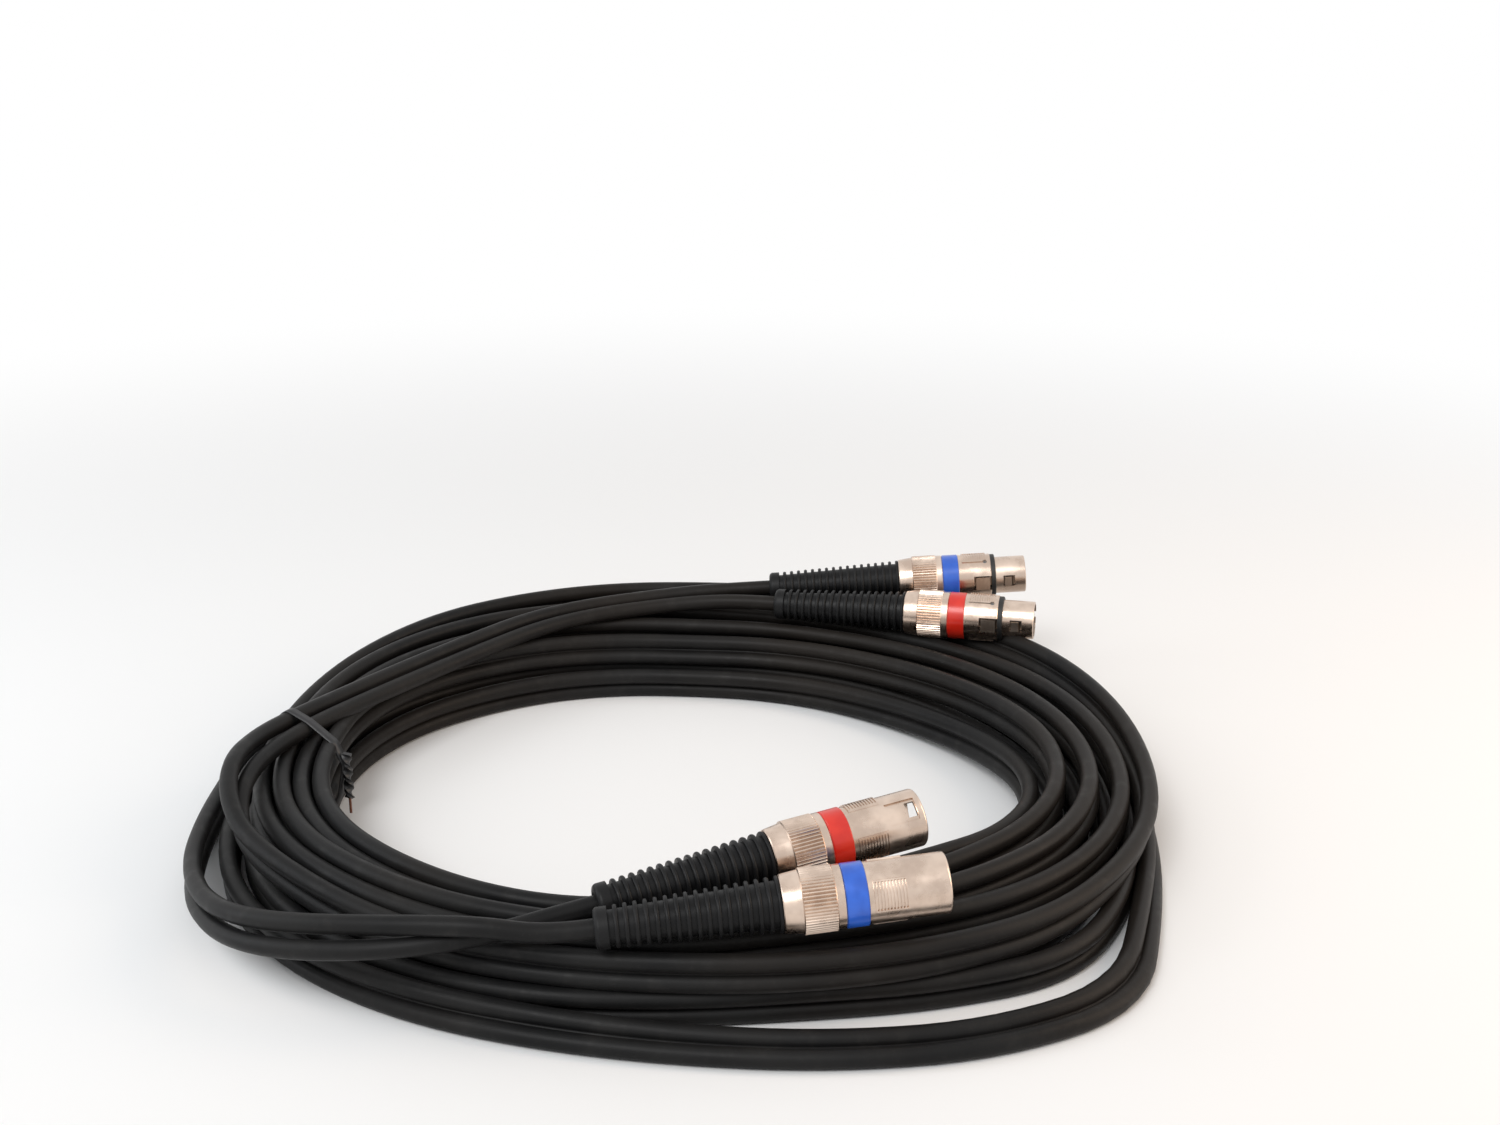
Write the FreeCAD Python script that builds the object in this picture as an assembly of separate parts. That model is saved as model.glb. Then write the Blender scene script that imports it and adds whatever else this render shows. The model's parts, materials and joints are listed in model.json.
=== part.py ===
import FreeCAD, Part
import math
import os

# A coiled stereo microphone cable: two round cores joined side by side, with a
# three-pole plug and a three-pole socket connector on each end of each core.
# Millimetres, +Z up, the coil lies on Z = 0 and the photograph's side is -Y.

V = FreeCAD.Vector

# Twin cable
CORE_D = 6.4
CORE_GAP = 0.45
FLAT_DEPTH = 0.5
CORE_STEP = CORE_D + CORE_GAP
LOWER_Z = CORE_D / 2 - FLAT_DEPTH

# Coil: two layers of turns, counted from the left side (-X)
FIRST_TURN = 0.125
REVERSE_TURN = 4.5
LAST_TURN = 9.875
SPAN_TURN = 0.25
CLIMB_TURNS = 0.5
COIL_INNER_R = 130.0
TURN_GAP = 1.8
TURN_PITCH = CORE_D + TURN_GAP
FAN_SHARE = 0.12
FAN_MIDDLE_R = 150.0
REAR_FLAT = 20.0
FRONT_FLAT = 16.0
RIGHT_FLAT = 4.0
BULGE_INNER = 2.0
BULGE_OUTER = 26.0
BULGE_DEPTH = 40.0
BULGE_ANGLE = 310.0
BULGE_HALF_WIDTH = 52.0
LEAST_GAP = 0.4
GAP_SAMPLE = 1.5
COIL_TOP = LOWER_Z + 3 * CORE_STEP + CORE_D / 2

# Layout centre, which becomes the origin
CENTRE = V(1.63, -8.91, 0.0)

# Leads, as runs between hand-chosen points joined by tangent arcs
ARC_SHARE = 0.45
FEMALE_FIRST_RUN = 20.0
MALE_FIRST_RUN = 33.0
LAST_RUN = 15.0
RED_FEMALE_ROUTE = (
    (-145.7, -80.8, 21.4), (-154.4, -60.8, 27.0), (-157.5, -39.3, 30.8), (-154.0, -17.5, 31.0),
    (-146.9, 3.8, 31.0), (-136.7, 24.1, 31.0), (-124.0, 43.9, 31.0), (-108.2, 65.0, 31.0),
    (-87.5, 87.5, 31.0), (-67.2, 110.8, 31.0), (-42.3, 124.6, 31.0), (-16.4, 131.3, 31.8),
    (2.5, 128.3, 34.3))
BLUE_FEMALE_ROUTE = (
    (-145.8, -82.6, 28.2), (-156.1, -62.8, 33.5), (-161.6, -39.7, 36.4), (-159.9, -16.1, 34.5),
    (-153.3, 6.5, 32.2), (-142.8, 27.6, 31.0), (-129.7, 47.9, 31.0), (-113.5, 69.5, 31.0),
    (-92.8, 92.2, 31.0), (-71.6, 116.2, 31.0), (-44.9, 131.1, 31.2), (-18.0, 138.4, 33.2),
    (0.5, 137.4, 36.0))
RED_MALE_ROUTE = (
    (-164.8, 56.7, 2.7), (-174.9, 21.5, 2.7), (-175.4, -5.0, 2.7), (-175.0, -27.0, 3.4),
    (-172.6, -49.0, 5.0), (-168.7, -70.5, 7.0), (-162.5, -91.0, 10.0), (-153.0, -111.0, 13.5),
    (-140.5, -128.5, 17.5), (-125.5, -141.0, 21.5), (-108.0, -149.0, 25.3), (-89.5, -153.0, 28.5),
    (-71.0, -152.8, 30.6), (-53.5, -146.5, 30.6))
BLUE_MALE_ROUTE = (
    (-164.8, 56.7, 9.55), (-174.9, 21.5, 9.55), (-175.4, -4.0, 9.6), (-175.2, -25.0, 10.3),
    (-173.2, -46.5, 12.0), (-169.6, -67.0, 14.0), (-163.5, -86.5, 17.0), (-154.5, -105.5, 20.5),
    (-142.5, -121.5, 24.5), (-127.5, -133.5, 28.5), (-110.0, -142.0, 32.2), (-91.0, -147.8, 35.5),
    (-72.5, -152.8, 37.4), (-56.0, -154.9, 37.6))

# Where each connector's boot starts on the coil, the way it points and how far its latch
# side is turned from straight up towards the photograph's side
PLACES = {
    "red_male": (V(-24.2, -135.1, COIL_TOP + 7.35), V(0.9402, 0.3200, 0.1165), 40.0),
    "blue_male": (V(-23.5, -151.2, COIL_TOP + 8.35), V(0.9895, 0.1195, 0.0812), 250.0),
    "red_female": (V(34.8, 121.0, COIL_TOP + 10.15), V(0.9748, -0.2225, 0.0156), 92.0),
    "blue_female": (V(32.4, 135.2, COIL_TOP + 12.35), V(0.9969, -0.0334, 0.0717), 92.0),
}

# Fits
RUNNING = 0.1
PRESS = 0.02
SEAT = 0.05
FREE = 0.2

# Bend relief boot
BOOT_LENGTH = 57.0
BOOT_CAP_R = 6.5
BOOT_CAP_LENGTH = 4.3
BOOT_CAP_EDGE = 1.6
BOOT_FRONT_R = 8.7
RIB_COUNT = 17
RIB_WIDTH = 1.3
RIB_HEIGHT = 1.4
BOOT_NECK_R = 7.15
BOOT_FLANGE_R = 7.8
BOOT_FLANGE_LENGTH = 1.9

# Screwed collar
COLLAR_REAR_R = 9.0
COLLAR_CONE_R = 9.7
COLLAR_CONE_LENGTH = 5.8
KNURL_R = 10.2
KNURL_LENGTH = 10.6
KNURL_COUNT = 56
KNURL_DEPTH = 0.45
KNURL_SHARE = 0.7
COLLAR_BAND_R = 9.9
COLLAR_LENGTH = 19.0
COLLAR_LIP = 3.0
EDGE = 0.3

# Metal shells
SPIGOT_R = 7.9
SPIGOT_REAR = 9.0
INSERT_BORE_R = 7.0
RING_R = 9.9
RING_LENGTH = 7.0
SHELL_REAR = COLLAR_LENGTH + RING_LENGTH
NOSE_R = 7.95
NOSE_LENGTH = 15.0
NOSE_PLAY = 0.15
CAVITY_R = NOSE_R + NOSE_PLAY
CAVITY_DEPTH = 18.5
MALE_WALL = 1.4
MALE_SHELL_R = CAVITY_R + MALE_WALL
MALE_SHELL_LENGTH = 25.5
SHELL_EDGE = 1.0
FEMALE_BODY_R = 9.6
FEMALE_BODY_LENGTH = 14.0
GASKET_R = 9.3
GASKET_LENGTH = 1.9
KEY_WIDTH = 2.0
KEY_SETBACK = 3.0
KEY_TOP = NOSE_R - 0.7
KEYWAY_FLOOR = NOSE_R - 1.35

# Grip pads on the shells
PAD_START = SHELL_REAR + 1.6
PAD_LENGTH = 10.4
PAD_WIDTH = 9.8
PAD_HEIGHT = 0.45
PAD_RIDGES = 10

# Latch seat on the plug shell
POCKET_LENGTH = 10.0
POCKET_WIDTH = 7.5
POCKET_DEPTH = 0.5
CATCH_LENGTH = 3.2
CATCH_WIDTH = 5.0
CATCH_FROM_FRONT = 2.6

# Contacts and insulators
CONTACT_CIRCLE_R = 4.0
CONTACT_ANGLES = (90.0, 180.0, 270.0)
PIN_R = 1.2
PIN_RECESS = 5.5
PIN_NOSE = 1.0
SOCKET_R = 1.75
INSERT_REAR = COLLAR_LENGTH + 6.0
INSERT_SETBACK = 0.7
CUP_REAR = INSERT_REAR - 3.0
CUP_R = 1.0
CUP_BORE_R = 0.7
CUP_DEPTH = 3.5
CUP_SHOULDER = 1.5
SOCKET_LID = 1.5
SOCKET_DEPTH = 16.0
SOCKET_SLIT = 0.4
SOCKET_SLIT_LENGTH = 12.0

# Cable clamp and wires
CHUCK_REAR = 5.3
CHUCK_FLANGE_R = 7.6
CHUCK_FRONT = COLLAR_LENGTH - 2.0
CHUCK_SLOT = 1.0
CHUCK_EDGE = 1.0
CABLE_FRONT = CHUCK_FRONT - 2.0
WIRE_R = 0.55
WIRE_CIRCLE_R = 1.6

# Latch of the socket connectors
HINGE_X = SHELL_REAR + 5.8
HINGE_Z = 5.3
HINGE_R = 0.5
HINGE_GRIP = 1.2
EYE_R = 1.0
LEVER_HALF_WIDTH = 2.1
LEVER_BOTTOM = 4.7
LEVER_TOP = 6.1
TAB_HALF_WIDTH = 2.9
TAB_BOTTOM = 7.2
TAB_TOP = FEMALE_BODY_R + 0.15
TAB_START = SHELL_REAR + 7.2
TAB_END = TAB_START + 6.0
TAB_GROOVE = 0.8
HOOK_START = SHELL_REAR + FEMALE_BODY_LENGTH + 5.6
HOOK_END = HOOK_START + 4.0
HOOK_TOP = NOSE_R + 0.85
HOOK_SLOPE = 0.9
HOOK_BACK = 0.2
LEVER_END = HOOK_END + 1.4
CHANNEL_HALF_WIDTH = 2.4
CHANNEL_FLOOR = 2.4
CHANNEL_START = HINGE_X - 1.6
CHANNEL_END = LEVER_END + 1.8
WINDOW_PLAY = 0.4
LEAF_T = 0.25
LEAF_START = SHELL_REAR + 7.0
LEAF_END = LEAF_START + 6.0
LEAF_RETURN = 2.0
LEAF_PLAY = 0.45
LEAF_HALF_WIDTH = 1.4
SCREW_R = 0.75
SCREW_X = SHELL_REAR + 11.5
SCREW_ANGLE = -61.0
SCREW_FOOT = 5.8
SCREW_SLOT = 0.3

# Tie round the left side of the coil, its middle on a turn of this radius, and its
# corners counted in turns across and cores up, each with its own rounding
TIE_OUT = 22.2727
TIE_MIDDLE_R = COIL_INNER_R + TIE_OUT
TIE_CENTRE = V(FAN_SHARE * (TIE_MIDDLE_R - FAN_MIDDLE_R) - TIE_MIDDLE_R, 4.0, 0.0)
TIE_SLANT = 28.0
TIE_T = 0.6
TIE_WIDTH = 4.0
TIE_COUNTS = (
    (-3.11098, 0.0, 1.0), (3.71098, 0.0, 1.0), (3.71098, 1.6073, 3.5), (0.34024, 5.36934, 3.5),
    (-0.8061, 5.0146, 3.5), (-3.11098, 3.72847, 3.5))
TIE_CORNERS = [(a * TURN_PITCH, b * CORE_STEP, edge) for a, b, edge in TIE_COUNTS]
TWIST_LENGTH = 18.0
TWIST_TURNS = 1.5
TWIST_WIDE = 3.6
TWIST_THIN = 1.8
TAIL_R = 0.5
TAIL_LENGTH = 6.5
TWIST_TOP = 3.79562 * CORE_STEP

# How far cutters run past a face, and past every connector surface
OVER = 1.0
OUTSIDE = 12.0
ABOVE_ALL = 100.0


def save(name, shape):
    shape = shape.copy()
    shape.translate(-CENTRE)
    TOTAL.add(shape.optimalBoundingBox(False, False))
    print(name, len(shape.Solids), "solid", round(shape.Volume, 1), "mm3", shape.isValid())
    shape.exportStep("parts/" + name + ".step")


def coil_radius(turn):
    return COIL_INNER_R + TURN_PITCH * abs(turn - REVERSE_TURN)


def coil_point(turn, core_z):
    radius = coil_radius(turn)
    angle = math.pi + 2 * math.pi * turn
    offset = -REAR_FLAT * max(0.0, math.sin(angle)) ** 2
    offset -= FRONT_FLAT * min(0.0, math.sin(angle)) ** 2
    offset -= RIGHT_FLAT * max(0.0, math.cos(angle)) ** 2
    off_angle = (math.degrees(angle) - BULGE_ANGLE + 180.0) % 360.0 - 180.0
    if abs(off_angle) < BULGE_HALF_WIDTH:
        share = min(1.0, (radius - COIL_INNER_R) / BULGE_DEPTH) ** 2
        height = BULGE_INNER + BULGE_OUTER * share
        offset += height * math.cos(math.radians(90.0 * off_angle / BULGE_HALF_WIDTH)) ** 2
    centre_x = FAN_SHARE * (radius - FAN_MIDDLE_R)
    climb = (turn - REVERSE_TURN) / CLIMB_TURNS + 0.5
    climb = min(1.0, max(0.0, climb))
    layer = CORE_STEP * (1 + math.cos(math.pi * climb))
    radius += offset
    return V(centre_x + radius * math.cos(angle), radius * math.sin(angle), core_z + layer)


def coil_direction(turn, core_z):
    step = 0.02
    before = coil_point(turn - step, core_z)
    after = coil_point(turn + step, core_z)
    return (after - before).normalize()


def arc_from(start, direction, end):
    """The arc that leaves start along direction and reaches end."""
    chord = end - start
    along = chord.dot(direction)
    side = direction * along - chord * (along * along / chord.dot(chord))
    if side.Length < 1e-7:
        return Part.LineSegment(start, end).toShape()
    side.normalize()
    angle = chord.getAngle(direction)
    middle = (start + end) * 0.5 + side * (chord.Length / 2 * math.tan(angle / 2))
    return Part.Arc(start, middle, end).toShape()


def biarc(start, start_way, end, end_way):
    """Two arcs that join two points along the given directions."""
    gap = end - start
    ways = start_way + end_way
    spread = 2 * (1 - start_way.dot(end_way))
    along = gap.dot(ways)
    reach = (math.sqrt(along * along + spread * gap.dot(gap)) - along) / spread
    first = start + start_way * reach
    second = end - end_way * reach
    joint = (first + second) * 0.5
    joint_way = (second - first).normalize()
    return [arc_from(start, start_way, joint), arc_from(joint, joint_way, end)]


def coil_wire(core_z):
    edges = []
    count = round((LAST_TURN - FIRST_TURN) / SPAN_TURN)
    turns = [FIRST_TURN + SPAN_TURN * i for i in range(count + 1)]
    points = [coil_point(t, core_z) for t in turns]
    ways = [coil_direction(t, core_z) for t in turns]
    for end in (0, -1):
        ways[end].z = 0.0
        ways[end].normalize()
    start = points[0] - ways[0] * CORE_D
    finish = points[-1] + ways[-1] * CORE_D
    edges.append(Part.LineSegment(start, points[0]).toShape())
    for i in range(count):
        edges += biarc(points[i], ways[i], points[i + 1], ways[i + 1])
    edges.append(Part.LineSegment(points[-1], finish).toShape())
    return Part.Wire(edges), (start, ways[0] * -1.0), (finish, ways[-1])


def route_wire(name, points):
    """Straight runs joined by tangent arcs as large as the runs allow."""
    edges = []
    radii = []
    last = points[0]
    for i in range(1, len(points) - 1):
        corner = points[i]
        back = points[i - 1] - corner
        ahead = points[i + 1] - corner
        cut = ARC_SHARE * min(back.Length, ahead.Length)
        turn = math.pi - back.getAngle(ahead)
        radius = cut / math.tan(turn / 2)
        radii.append(round(radius))
        back.normalize()
        ahead.normalize()
        start = corner + back * cut
        end = corner + ahead * cut
        inward = (back + ahead).normalize()
        middle = corner + inward * (radius / math.cos(turn / 2) - radius)
        edges.append(Part.LineSegment(last, start).toShape())
        edges.append(Part.Arc(start, middle, end).toShape())
        last = end
    edges.append(Part.LineSegment(last, points[-1]).toShape())
    print(name, "radii", radii)
    return Part.Wire(edges)


def tube(name, wire, start, way, radius):
    profile = Part.Wire(Part.makeCircle(radius, start, way))
    solid = wire.makePipeShell([profile], True, False)
    expected = math.pi * radius * radius * wire.Length
    print(name, "length", round(wire.Length), "volume ratio", round(solid.Volume / expected, 4))
    return solid


def segment_distance(point, start, end):
    along = end - start
    share = (point - start).dot(along) / along.dot(along)
    share = min(1.0, max(0.0, share))
    return (start + along * share - point).Length


def own_gap(wire, skip):
    """The least gap between stretches of one tube that are not neighbours."""
    points = wire.discretize(Distance=GAP_SAMPLE)
    cell = 2 * CORE_D
    cells = {}
    for i, p in enumerate(points):
        cells.setdefault((int(p.x // cell), int(p.y // cell), int(p.z // cell)), []).append(i)
    least = cell
    for (cx, cy, cz), members in cells.items():
        near = []
        for dx in (-1, 0, 1):
            for dy in (-1, 0, 1):
                for dz in (-1, 0, 1):
                    near += cells.get((cx + dx, cy + dy, cz + dz), [])
        for i in members:
            for j in near:
                if j > i + skip and j + 1 < len(points):
                    least = min(least, segment_distance(points[i], points[j], points[j + 1]))
    return least - CORE_D


def floor_cut(shape):
    side = 2 * (COIL_INNER_R + ABOVE_ALL)
    above = Part.makeBox(side, side, ABOVE_ALL, V(-side / 2, -side / 2, 0))
    return shape.common(above)


def outline(start, steps):
    """A closed outline of lines and arcs in the plane of the axis."""
    edges = []
    here = V(start[0], 0, start[1])
    first = here
    for step in steps:
        there = V(step[-2], 0, step[-1])
        if len(step) == 4:
            edges.append(Part.Arc(here, V(step[0], 0, step[1]), there).toShape())
        else:
            edges.append(Part.LineSegment(here, there).toShape())
        here = there
    edges.append(Part.LineSegment(here, first).toShape())
    return Part.Face(Part.Wire(edges))


def turned(start, steps):
    return outline(start, steps).revolve(V(0, 0, 0), V(1, 0, 0), 360)


def rod(x0, x1, radius, y=0.0, z=0.0):
    return Part.makeCylinder(radius, x1 - x0, V(x0, y, z), V(1, 0, 0))


def block(x0, x1, y0, y1, z0, z1):
    return Part.makeBox(x1 - x0, y1 - y0, z1 - z0, V(x0, y0, z0))


def spun(shape, angle):
    """A copy turned about the connector's axis."""
    shape = shape.copy()
    shape.rotate(V(0, 0, 0), V(1, 0, 0), angle)
    return shape


def contact_seat(angle):
    """The side and the height of a contact, from the latch side."""
    y = CONTACT_CIRCLE_R * math.sin(math.radians(angle))
    z = CONTACT_CIRCLE_R * math.cos(math.radians(angle))
    return y, z


def make_boot():
    pitch = (BOOT_LENGTH - BOOT_CAP_LENGTH) / RIB_COUNT
    bore = CORE_D / 2 + FREE
    x = -BOOT_LENGTH
    corner = BOOT_CAP_EDGE * (1 - math.sqrt(0.5))
    steps = [(x, BOOT_CAP_R - BOOT_CAP_EDGE)]
    steps.append((x + corner, BOOT_CAP_R - corner, x + BOOT_CAP_EDGE, BOOT_CAP_R))
    x += BOOT_CAP_LENGTH
    steps.append((x, BOOT_CAP_R))
    for i in range(RIB_COUNT):
        crest = BOOT_CAP_R + (BOOT_FRONT_R - BOOT_CAP_R) * (i + 1) / RIB_COUNT
        groove = crest - RIB_HEIGHT
        rib = x + pitch - RIB_WIDTH
        steps.append((x, groove))
        steps.append((rib, groove))
        steps.append((rib, crest - RIB_WIDTH / 4))
        steps.append((rib + RIB_WIDTH / 2, crest, rib + RIB_WIDTH, crest - RIB_WIDTH / 4))
        x += pitch
    x = -RUNNING
    steps[-1] = (x - RIB_WIDTH / 2, steps[-1][1], x, steps[-1][3])
    steps.append((x, BOOT_NECK_R))
    steps.append((COLLAR_LIP + RUNNING, BOOT_NECK_R))
    steps.append((COLLAR_LIP + RUNNING, BOOT_FLANGE_R))
    steps.append((COLLAR_LIP + RUNNING + BOOT_FLANGE_LENGTH, BOOT_FLANGE_R))
    steps.append((COLLAR_LIP + RUNNING + BOOT_FLANGE_LENGTH, bore))
    return turned((-BOOT_LENGTH, bore), steps)


def make_collar():
    knurl_end = COLLAR_CONE_LENGTH + KNURL_LENGTH
    steps = [
        (0.0, COLLAR_REAR_R - EDGE), (EDGE, COLLAR_REAR_R),
        (COLLAR_CONE_LENGTH, COLLAR_CONE_R), (COLLAR_CONE_LENGTH + EDGE, KNURL_R),
        (knurl_end - EDGE, KNURL_R), (knurl_end, COLLAR_BAND_R),
        (COLLAR_LENGTH - EDGE, COLLAR_BAND_R), (COLLAR_LENGTH, COLLAR_BAND_R - EDGE),
        (COLLAR_LENGTH, SPIGOT_R + RUNNING), (COLLAR_LIP, SPIGOT_R + RUNNING),
        (COLLAR_LIP, BOOT_NECK_R + RUNNING)]
    body = turned((0.0, BOOT_NECK_R + RUNNING), steps)
    half = math.pi * KNURL_R / KNURL_COUNT * KNURL_SHARE
    deep = KNURL_R - KNURL_DEPTH
    out = KNURL_R + OVER / 2
    flank = half * (out - deep) / KNURL_DEPTH
    corners = [V(0, -flank, out), V(0, flank, out), V(0, 0, deep), V(0, -flank, out)]
    wedge = Part.Face(Part.makePolygon(corners)).extrude(V(KNURL_LENGTH - 2 * EDGE, 0, 0))
    wedge.translate(V(COLLAR_CONE_LENGTH + EDGE, 0, 0))
    grooves = [spun(wedge, 360.0 * i / KNURL_COUNT) for i in range(KNURL_COUNT)]
    return body.cut(grooves)


def make_ring():
    start = COLLAR_LENGTH + SEAT
    end = SHELL_REAR - SEAT
    inner = SPIGOT_R + SEAT
    return turned((start, inner), [
        (start, RING_R - EDGE), (start + EDGE, RING_R), (end - EDGE, RING_R), (end, RING_R - EDGE),
        (end, inner)])


def make_pad(shell_r, length):
    """A raised pad with ridges across its length."""
    top = shell_r + PAD_HEIGHT
    end = PAD_START + length
    ring = rod(PAD_START, end, top).cut(rod(PAD_START, end, shell_r - FREE))
    pad = ring.common(block(PAD_START, end, -PAD_WIDTH / 2, PAD_WIDTH / 2, 0, 2 * top))
    pitch = length / (PAD_RIDGES + 0.5)
    cuts = []
    for i in range(PAD_RIDGES):
        x = PAD_START + pitch * (i + 0.5)
        slot = rod(x, x + pitch / 2, top + OVER).cut(rod(x, x + pitch / 2, shell_r))
        inner_width = PAD_WIDTH / 2 - pitch / 2
        cuts.append(slot.common(block(x, x + pitch / 2, -inner_width, inner_width, 0, 2 * top)))
    return pad.cut(cuts)


def make_male_shell():
    front = SHELL_REAR + MALE_SHELL_LENGTH
    floor = front - CAVITY_DEPTH
    corner = SHELL_EDGE * (1 - math.sqrt(0.5))
    steps = [
        (SPIGOT_REAR, SPIGOT_R), (SHELL_REAR, SPIGOT_R), (SHELL_REAR, MALE_SHELL_R),
        (front - SHELL_EDGE, MALE_SHELL_R),
        (front - corner, MALE_SHELL_R - corner, front, MALE_SHELL_R - SHELL_EDGE),
        (front, CAVITY_R + EDGE / 2), (front - EDGE / 2, CAVITY_R), (floor, CAVITY_R), (floor, INSERT_BORE_R)]
    shell = turned((SPIGOT_REAR, INSERT_BORE_R), steps)
    pads = [spun(make_pad(MALE_SHELL_R, PAD_LENGTH), angle) for angle in (-60.0, 60.0, 180.0)]
    shell = shell.fuse(pads)
    catch_end = front - CATCH_FROM_FRONT
    pocket_start = catch_end + EDGE - POCKET_LENGTH
    seat = rod(pocket_start, catch_end + EDGE, MALE_SHELL_R + OVER).cut(
        rod(pocket_start, catch_end + EDGE, MALE_SHELL_R - POCKET_DEPTH))
    half = POCKET_WIDTH / 2
    seat = seat.common(block(pocket_start, catch_end + EDGE, -half, half, 0, 2 * MALE_SHELL_R))
    half = CATCH_WIDTH / 2
    hole = block(catch_end - CATCH_LENGTH, catch_end, -half, half, INSERT_BORE_R, OUTSIDE)
    shell = shell.cut([seat, hole])
    half = KEY_WIDTH / 2
    key = block(floor + EDGE, front - KEY_SETBACK, -half, half, -CAVITY_R - FREE, -KEY_TOP)
    return shell.fuse(key)


def make_female_shell():
    body_end = SHELL_REAR + FEMALE_BODY_LENGTH
    front = body_end + NOSE_LENGTH
    steps = [
        (SPIGOT_REAR, SPIGOT_R), (SHELL_REAR, SPIGOT_R), (SHELL_REAR, FEMALE_BODY_R),
        (body_end - EDGE, FEMALE_BODY_R), (body_end, FEMALE_BODY_R - EDGE), (body_end, NOSE_R),
        (front - EDGE, NOSE_R), (front, NOSE_R - EDGE), (front, INSERT_BORE_R)]
    shell = turned((SPIGOT_REAR, INSERT_BORE_R), steps)
    pads = [spun(make_pad(FEMALE_BODY_R, PAD_LENGTH), angle) for angle in (-90.0, 90.0)]
    shell = shell.fuse(pads)
    tab = TAB_HALF_WIDTH + WINDOW_PLAY
    window = block(TAB_START - 2 * WINDOW_PLAY, body_end + OVER / 2, -tab, tab, LEVER_TOP, OUTSIDE)
    hook = LEVER_HALF_WIDTH + WINDOW_PLAY
    opening = block(HOOK_START - WINDOW_PLAY, HOOK_END + 1.5 * WINDOW_PLAY, -hook, hook, LEVER_TOP, OUTSIDE)
    slot = keyway_cut(body_end, front)
    return shell.cut([window, opening, slot, screw_hole(SCREW_R + RUNNING)])


def keyway_cut(body_end, front):
    """The slot under the nose that a plug shell's key runs in."""
    half = KEY_WIDTH / 2 + WINDOW_PLAY
    return block(body_end + GASKET_LENGTH + OVER, front + OVER, -half, half, -OUTSIDE, -KEYWAY_FLOOR)


def screw_hole(radius):
    hole = Part.makeCylinder(radius, OUTSIDE, V(SCREW_X, 0, SCREW_FOOT - RUNNING), V(0, 0, 1))
    return spun(hole, SCREW_ANGLE)


def make_screw():
    top = FEMALE_BODY_R - EDGE
    screw = Part.makeCylinder(SCREW_R, top - SCREW_FOOT, V(SCREW_X, 0, SCREW_FOOT), V(0, 0, 1))
    half = SCREW_SLOT / 2
    slot = block(SCREW_X - SCREW_R, SCREW_X + SCREW_R, -half, half, top - 2 * SCREW_SLOT, top + OVER)
    return spun(screw.cut(slot), SCREW_ANGLE)


def make_gasket():
    start = SHELL_REAR + FEMALE_BODY_LENGTH + SEAT
    end = start + GASKET_LENGTH
    inner = NOSE_R + SEAT
    return turned((start, inner), [
        (start, GASKET_R), (end - EDGE, GASKET_R), (end, GASKET_R - EDGE), (end, inner)])


def make_male_insert():
    front = SHELL_REAR + MALE_SHELL_LENGTH - CAVITY_DEPTH
    insert = rod(INSERT_REAR, front, INSERT_BORE_R - SEAT)
    holes = []
    for angle in CONTACT_ANGLES:
        y, z = contact_seat(angle)
        holes.append(rod(INSERT_REAR - OVER, front + OVER, PIN_R + PRESS, y, z))
    return insert.cut(holes)


def make_pins():
    front = SHELL_REAR + MALE_SHELL_LENGTH - PIN_RECESS
    cup_front = INSERT_REAR + CUP_SHOULDER
    steps = [
        (CUP_REAR, CUP_R), (cup_front, CUP_R), (cup_front, PIN_R), (front - PIN_NOSE, PIN_R),
        (front - PIN_NOSE / 4, PIN_R * 0.7, front, PIN_R / 3), (front, 0.0), (CUP_REAR + CUP_DEPTH, 0.0),
        (CUP_REAR + CUP_DEPTH, CUP_BORE_R)]
    pin = turned((CUP_REAR, CUP_BORE_R), steps)
    return contacts(pin)


def contacts(shape):
    placed = []
    for angle in CONTACT_ANGLES:
        y, z = contact_seat(angle)
        one = shape.copy()
        one.translate(V(0, y, z))
        placed.append(one)
    return Part.makeCompound(placed)


def make_female_insert():
    front = SHELL_REAR + FEMALE_BODY_LENGTH + NOSE_LENGTH - INSERT_SETBACK
    mouth = front - SOCKET_LID
    insert = rod(INSERT_REAR, front, INSERT_BORE_R - SEAT)
    half = CHANNEL_HALF_WIDTH
    cuts = [block(CHANNEL_START, CHANNEL_END, -half, half, CHANNEL_FLOOR, OUTSIDE)]
    for angle in CONTACT_ANGLES:
        y, z = contact_seat(angle)
        cuts.append(rod(INSERT_REAR - OVER, mouth, SOCKET_R + PRESS, y, z))
        cuts.append(rod(mouth - OVER, front + OVER, PIN_R + RUNNING, y, z))
    cuts.append(keyway_cut(SHELL_REAR + FEMALE_BODY_LENGTH, front))
    half = CHANNEL_HALF_WIDTH + HINGE_GRIP
    cuts.append(Part.makeCylinder(HINGE_R + PRESS, 2 * half, V(HINGE_X, -half, HINGE_Z), V(0, 1, 0)))
    cuts.append(screw_hole(SCREW_R + PRESS))
    return insert.cut(cuts)


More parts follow.
